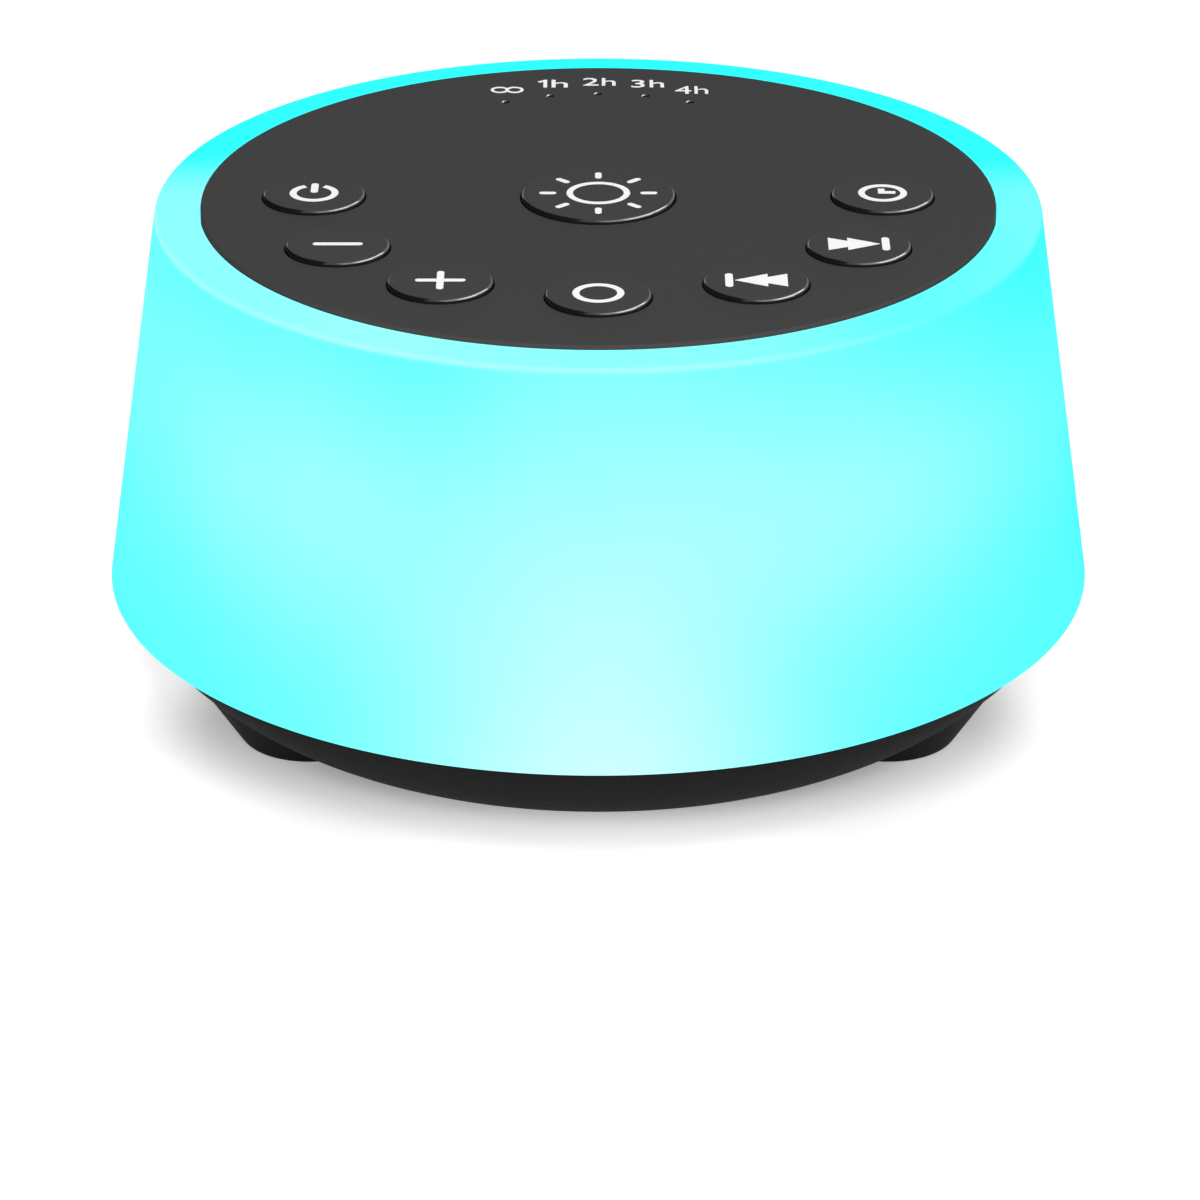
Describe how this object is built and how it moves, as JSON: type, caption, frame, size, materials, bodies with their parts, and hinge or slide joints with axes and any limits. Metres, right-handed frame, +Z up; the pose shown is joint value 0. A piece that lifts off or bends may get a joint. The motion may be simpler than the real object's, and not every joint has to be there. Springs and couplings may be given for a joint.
{
  "type": "white noise machine",
  "caption": "Round tabletop sound machine and night light: a glowing tapered shell between a black push-button panel and a black bowl-shaped base on flared feet.",
  "frame": {"origin": "on the floor, under the middle of the machine, level with the soles of the feet", "axes": "+Z up along the shell's axis, -Y to the front, where the play button is, +X to the right"},
  "size_m": [0.1, 0.0998, 0.0519],
  "materials": {
    "diffuser": "frosted, lit from inside",
    "panel_black": "fine satin",
    "button_black": "satin top, polished edge",
    "base_black": "fine moulded texture",
    "foot_rubber": "matt",
    "switch_black": "moulded",
    "plunger_white": "moulded",
    "board_green": "solder mask",
    "board_white": "white solder mask",
    "chip_black": "moulded epoxy",
    "connector_white": "moulded nylon",
    "led_body": "lamp package",
    "clear_guide": "clear acrylic",
    "core_white": "white reflector",
    "foam": "closed-cell foam",
    "speaker_frame_metal": "black stamped steel",
    "surround_rubber": "matt",
    "spider_cloth": "resin-stiffened cloth",
    "cone_paper": "pressed paper",
    "copper": "enamelled copper winding",
    "motor_steel": "zinc plated",
    "ferrite": "sintered ferrite",
    "socket_steel": "nickel plated",
    "lead_red": "insulated twin lead",
    "lead_grey": "insulated ribbon lead",
    "screw_steel": "zinc plated"
  },
  "bodies": {
    "housing": {"diffuser_shell": "diffuser", "top_panel": "panel_black", "base_cover": "base_black", "foot_left": "foot_rubber", "foot_right": "foot_rubber", "foot_rear": "foot_rubber", "switch_bodies": "switch_black", "control_board": "board_green", "power_board": "board_green", "light_board": "board_white", "sound_chip": "chip_black", "amplifier_chip": "chip_black", "board_connectors": "connector_white", "indicator_leds": "led_body", "night_light_leds": "led_body", "indicator_light_guide": "clear_guide", "reflector_core": "core_white", "speaker_gasket": "foam", "speaker_frame": "speaker_frame_metal", "speaker_surround": "surround_rubber", "speaker_spider": "spider_cloth", "speaker_top_plate": "motor_steel", "speaker_yoke": "motor_steel", "speaker_magnet": "ferrite", "power_socket": "socket_steel", "power_socket_tongue": "chip_black", "speaker_leads": "lead_red", "power_leads": "lead_red", "light_leads": "lead_grey", "panel_screws": "screw_steel", "base_screws": "screw_steel", "speaker_screws": "screw_steel", "light_board_screws": "screw_steel", "power_board_screws": "screw_steel"},
    "power_key": {"power_button": "button_black", "power_plunger": "plunger_white"},
    "volume_down_key": {"volume_down_button": "button_black", "volume_down_plunger": "plunger_white"},
    "volume_up_key": {"volume_up_button": "button_black", "volume_up_plunger": "plunger_white"},
    "play_key": {"play_button": "button_black", "play_plunger": "plunger_white"},
    "previous_key": {"previous_button": "button_black", "previous_plunger": "plunger_white"},
    "next_key": {"next_button": "button_black", "next_plunger": "plunger_white"},
    "timer_key": {"timer_button": "button_black", "timer_plunger": "plunger_white"},
    "light_key": {"light_button": "button_black", "light_plunger": "plunger_white"},
    "cone_assembly": {"speaker_cone": "cone_paper", "speaker_dust_cap": "cone_paper", "voice_coil": "copper"}
  },
  "joints": [
    {"name": "power_press", "type": "slide", "parent": "housing", "child": "power_key", "axis": [0, 0, -1], "range_m": [0, 0.0003], "stiffness_N_per_m": 2000},
    {"name": "volume_down_press", "type": "slide", "parent": "housing", "child": "volume_down_key", "axis": [0, 0, -1], "range_m": [0, 0.0003], "stiffness_N_per_m": 2000},
    {"name": "volume_up_press", "type": "slide", "parent": "housing", "child": "volume_up_key", "axis": [0, 0, -1], "range_m": [0, 0.0003], "stiffness_N_per_m": 2000},
    {"name": "play_press", "type": "slide", "parent": "housing", "child": "play_key", "axis": [0, 0, -1], "range_m": [0, 0.0003], "stiffness_N_per_m": 2000},
    {"name": "previous_press", "type": "slide", "parent": "housing", "child": "previous_key", "axis": [0, 0, -1], "range_m": [0, 0.0003], "stiffness_N_per_m": 2000},
    {"name": "next_press", "type": "slide", "parent": "housing", "child": "next_key", "axis": [0, 0, -1], "range_m": [0, 0.0003], "stiffness_N_per_m": 2000},
    {"name": "timer_press", "type": "slide", "parent": "housing", "child": "timer_key", "axis": [0, 0, -1], "range_m": [0, 0.0003], "stiffness_N_per_m": 2000},
    {"name": "light_press", "type": "slide", "parent": "housing", "child": "light_key", "axis": [0, 0, -1], "range_m": [0, 0.0003], "stiffness_N_per_m": 2000},
    {"name": "cone_stroke", "type": "slide", "parent": "housing", "child": "cone_assembly", "axis": [0, 0, 1], "range_m": [-0.0008, 0.0008], "stiffness_N_per_m": 1500, "deforming": ["speaker_surround", "speaker_spider"]}
  ]
}
